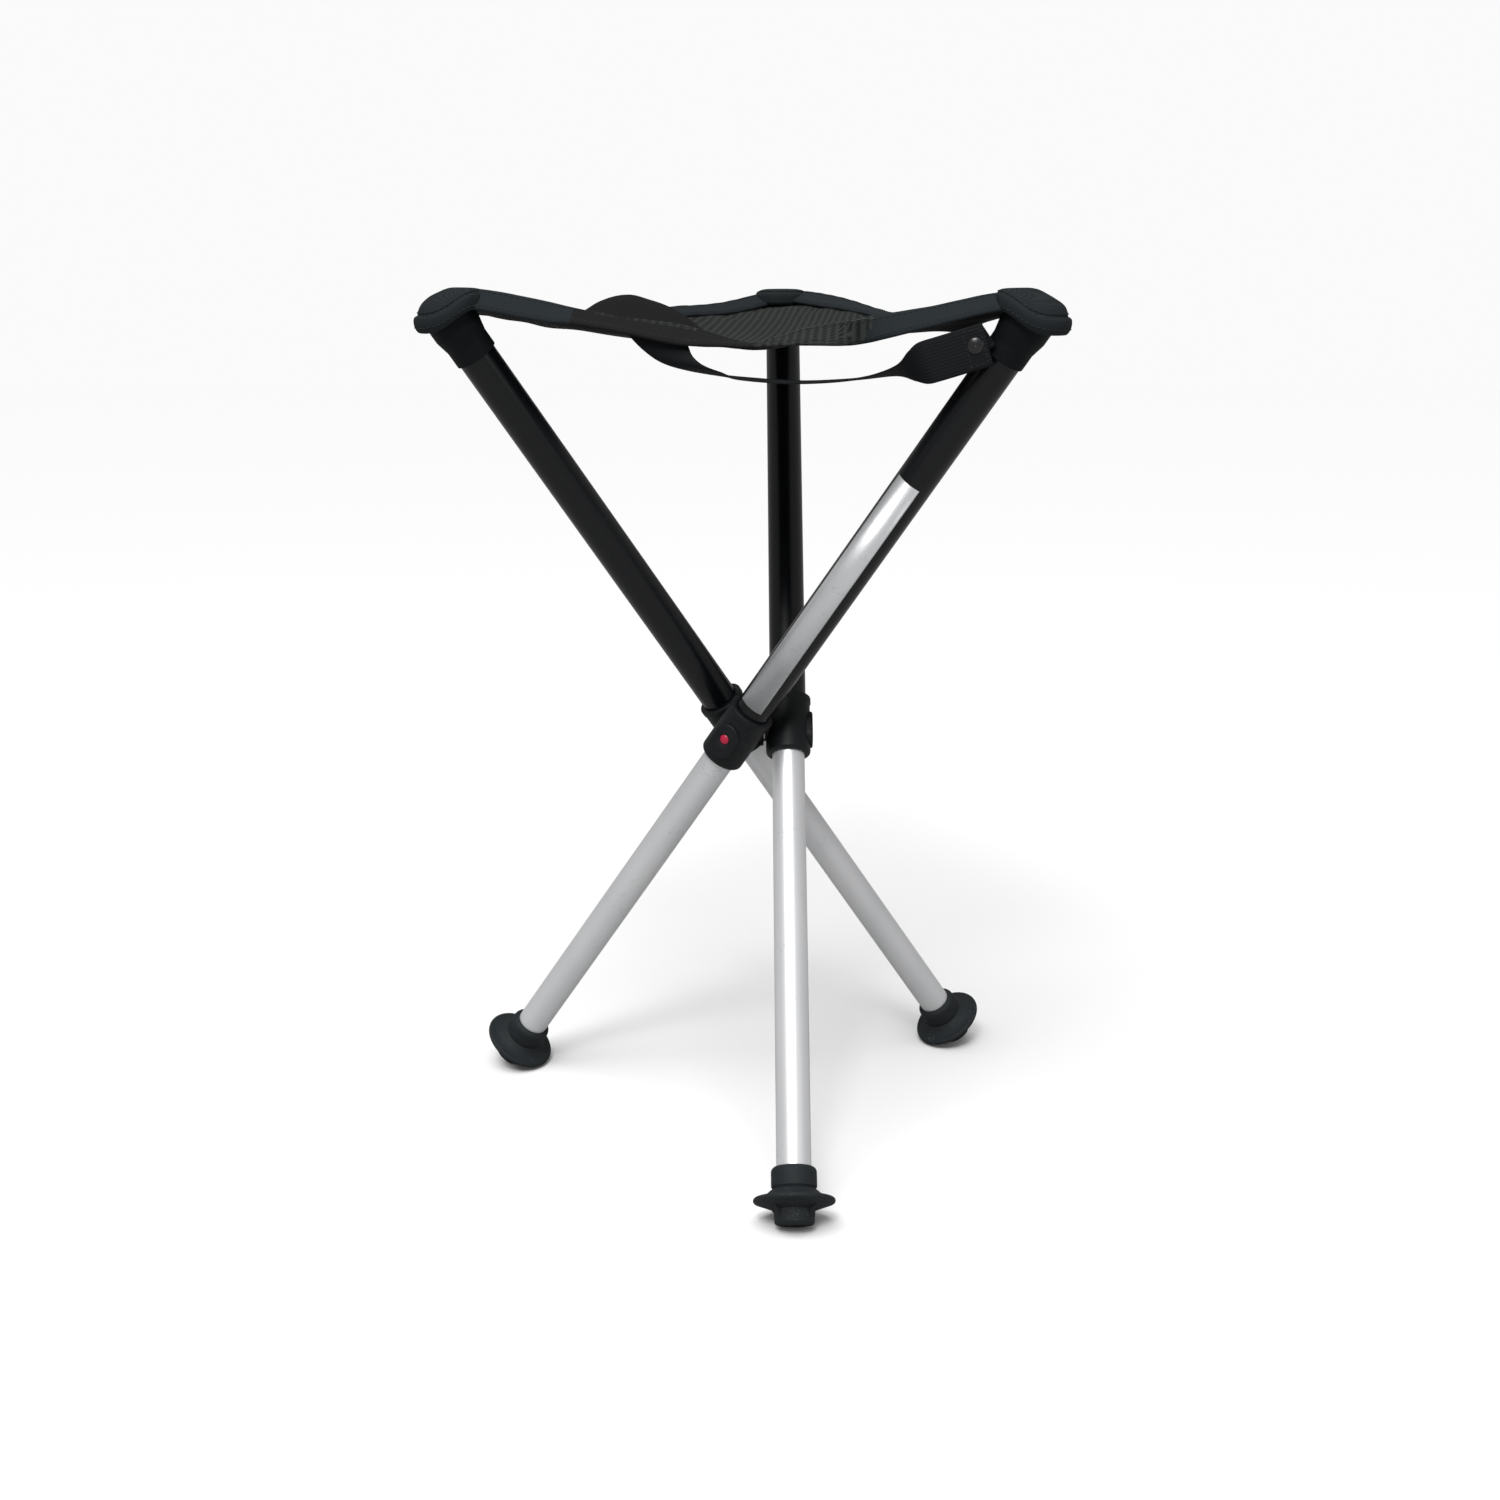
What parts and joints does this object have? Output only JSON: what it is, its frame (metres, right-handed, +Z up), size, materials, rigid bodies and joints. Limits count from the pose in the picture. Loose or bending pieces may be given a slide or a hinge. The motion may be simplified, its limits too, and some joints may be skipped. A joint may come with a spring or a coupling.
{
  "type": "folding stool",
  "caption": "Folding tripod stool: telescopic legs crossing at a pivot hub, sprung latches with release buttons, a slung mesh seat and a carrying strap.",
  "frame": {"origin": "on the floor, straight under the middle of the pivot hub", "axes": "+Z up; -Y towards the viewer of the picture and +Y towards the seat's rear corner; +X to the viewer's right"},
  "size_m": [0.3878, 0.4236, 0.5515],
  "materials": {
    "outer_tube": "satin",
    "inner_tube": "satin",
    "moulding": "satin",
    "end_cap": "matte",
    "glide_bush": "matte",
    "button": "gloss",
    "spring": "satin",
    "screw": "satin",
    "washer": "satin",
    "foot": "matte",
    "seat_mesh": "matte",
    "binding": "matte",
    "pocket": "matte",
    "webbing": "matte",
    "tab": "matte",
    "snap": "satin"
  },
  "bodies": {
    "hub": {"hub_core": "moulding", "pivot_screws": "screw", "pivot_washers": "washer", "seat_mesh": "seat_mesh", "left_binding": "binding", "front_binding": "binding", "right_binding": "binding", "carry_strap": "webbing"},
    "leg_rear": {"rear_outer_tube": "outer_tube", "rear_hub_sleeve": "moulding", "rear_end_cap": "end_cap", "rear_corner_pocket": "pocket"},
    "tube_rear": {"rear_inner_tube": "inner_tube", "rear_glide_bush": "glide_bush", "rear_lock_spring": "spring", "rear_rubber_foot": "foot"},
    "button_rear": {"rear_release_button": "button"},
    "leg_left": {"left_outer_tube": "outer_tube", "left_hub_sleeve": "moulding", "left_end_cap": "end_cap", "left_corner_pocket": "pocket"},
    "tube_left": {"left_inner_tube": "inner_tube", "left_glide_bush": "glide_bush", "left_lock_spring": "spring", "left_rubber_foot": "foot"},
    "button_left": {"left_release_button": "button"},
    "leg_right": {"right_outer_tube": "outer_tube", "right_hub_sleeve": "moulding", "right_end_cap": "end_cap", "right_corner_pocket": "pocket", "strap_tab": "tab", "strap_snap": "snap"},
    "tube_right": {"right_inner_tube": "inner_tube", "right_glide_bush": "glide_bush", "right_lock_spring": "spring", "right_rubber_foot": "foot"},
    "button_right": {"right_release_button": "button"}
  },
  "joints": [
    {"name": "fold_rear", "type": "hinge", "parent": "hub", "child": "leg_rear", "pos_m": [0, 0, 0.2676], "axis": [1, 0, 0], "range_deg": [0, 32], "deforming": ["seat_mesh", "left_binding", "front_binding", "right_binding", "carry_strap"]},
    {"name": "slide_rear", "type": "slide", "parent": "leg_rear", "child": "tube_rear", "axis": [0, 0.5892, 0.808], "range_m": [0, 0.2695], "deforming": ["rear_lock_spring"]},
    {"name": "press_rear", "type": "slide", "parent": "leg_rear", "child": "button_rear", "axis": [-1, 0, 0], "range_m": [0, 0.002], "stiffness_N_per_m": 1500, "springref_m": -0.001},
    {"name": "fold_left", "type": "hinge", "parent": "hub", "child": "leg_left", "pos_m": [0, 0, 0.2676], "axis": [-0.5, 0.866, 0], "range_deg": [0, 32]},
    {"name": "slide_left", "type": "slide", "parent": "leg_left", "child": "tube_left", "axis": [-0.5103, -0.2946, 0.808], "range_m": [0, 0.2585], "deforming": ["left_lock_spring"]},
    {"name": "press_left", "type": "slide", "parent": "leg_left", "child": "button_left", "axis": [0.5, -0.866, 0], "range_m": [0, 0.002], "stiffness_N_per_m": 1500, "springref_m": -0.001},
    {"name": "fold_right", "type": "hinge", "parent": "hub", "child": "leg_right", "pos_m": [0, 0, 0.2676], "axis": [-0.5, -0.866, 0], "range_deg": [0, 32]},
    {"name": "slide_right", "type": "slide", "parent": "leg_right", "child": "tube_right", "axis": [0.5103, -0.2946, 0.808], "range_m": [0, 0.2475], "deforming": ["right_lock_spring"]},
    {"name": "press_right", "type": "slide", "parent": "leg_right", "child": "button_right", "axis": [0.5, 0.866, 0], "range_m": [0, 0.002], "stiffness_N_per_m": 1500, "springref_m": -0.001}
  ],
  "couplings": [
    {"joint": "fold_left", "follows": "fold_rear", "ratio": 1},
    {"joint": "fold_right", "follows": "fold_rear", "ratio": 1}
  ]
}
